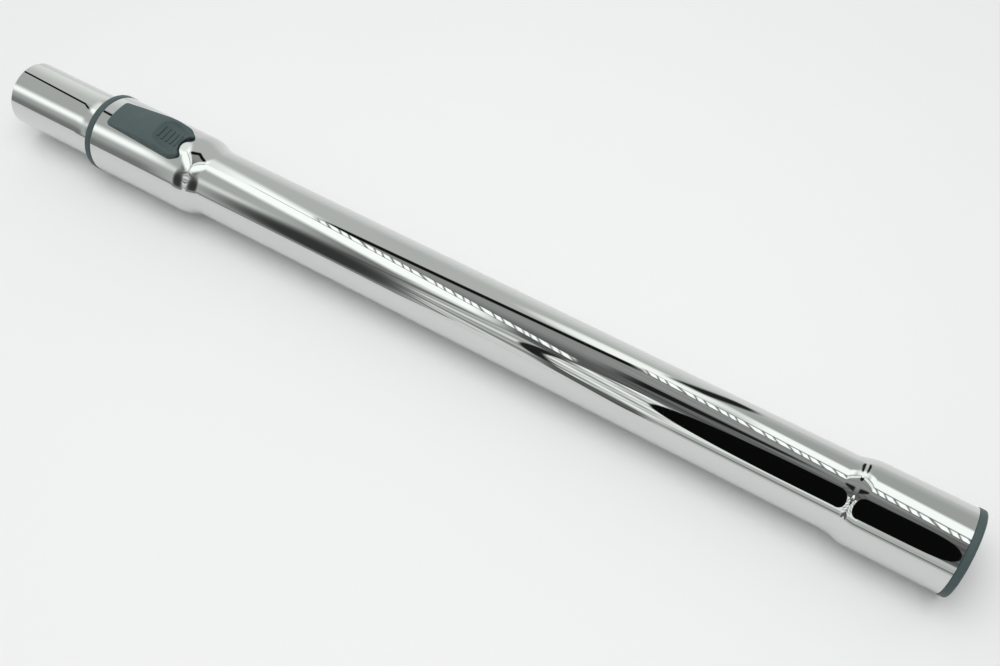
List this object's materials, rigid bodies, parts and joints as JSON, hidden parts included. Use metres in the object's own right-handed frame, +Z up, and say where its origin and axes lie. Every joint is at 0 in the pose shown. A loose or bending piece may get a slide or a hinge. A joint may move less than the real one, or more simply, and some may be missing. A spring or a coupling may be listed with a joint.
{
  "type": "telescopic vacuum wand",
  "caption": "Chromed telescopic vacuum cleaner wand, closed, with a moulded collar, a sprung thumb slider that frees the sliding tube, and a lined socket end.",
  "frame": {"origin": "on the wand's axis where the straight bore of the socket begins, just inside its mouth", "axes": "+X along the axis and out of the socket, so the closed wand runs towards -X; +Z up through the middle of the thumb slider"},
  "size_m": [0.5215, 0.0422, 0.0466],
  "materials": {
    "chromed_tube": "polished",
    "slate_plastic": "satin moulded",
    "natural_plastic": "smooth moulded",
    "seal_rubber": "matte",
    "spring_steel": "drawn wire"
  },
  "bodies": {
    "outer": {"outer_tube": "chromed_tube", "guide_sleeve": "slate_plastic", "socket_liner": "slate_plastic", "return_spring": "spring_steel"},
    "inner": {"inner_tube": "chromed_tube", "inner_end_bush": "natural_plastic", "inner_seal_ring": "seal_rubber"},
    "slider": {"slider_button": "slate_plastic", "slider_carriage": "natural_plastic"},
    "shoe": {"clamp_shoe": "natural_plastic"}
  },
  "joints": [
    {"name": "telescope", "type": "slide", "parent": "outer", "child": "inner", "axis": [-1, 0, 0], "range_m": [0, 0.32]},
    {"name": "release", "type": "slide", "parent": "outer", "child": "slider", "axis": [-1, 0, 0], "range_m": [0, 0.005], "stiffness_N_per_m": 800, "springref_m": -0.005, "deforming": ["return_spring"]},
    {"name": "clamp", "type": "slide", "parent": "outer", "child": "shoe", "axis": [0, 0, 1], "range_m": [0, 0.0005]}
  ],
  "couplings": [
    {"joint": "clamp", "follows": "release", "ratio": 0.1}
  ]
}
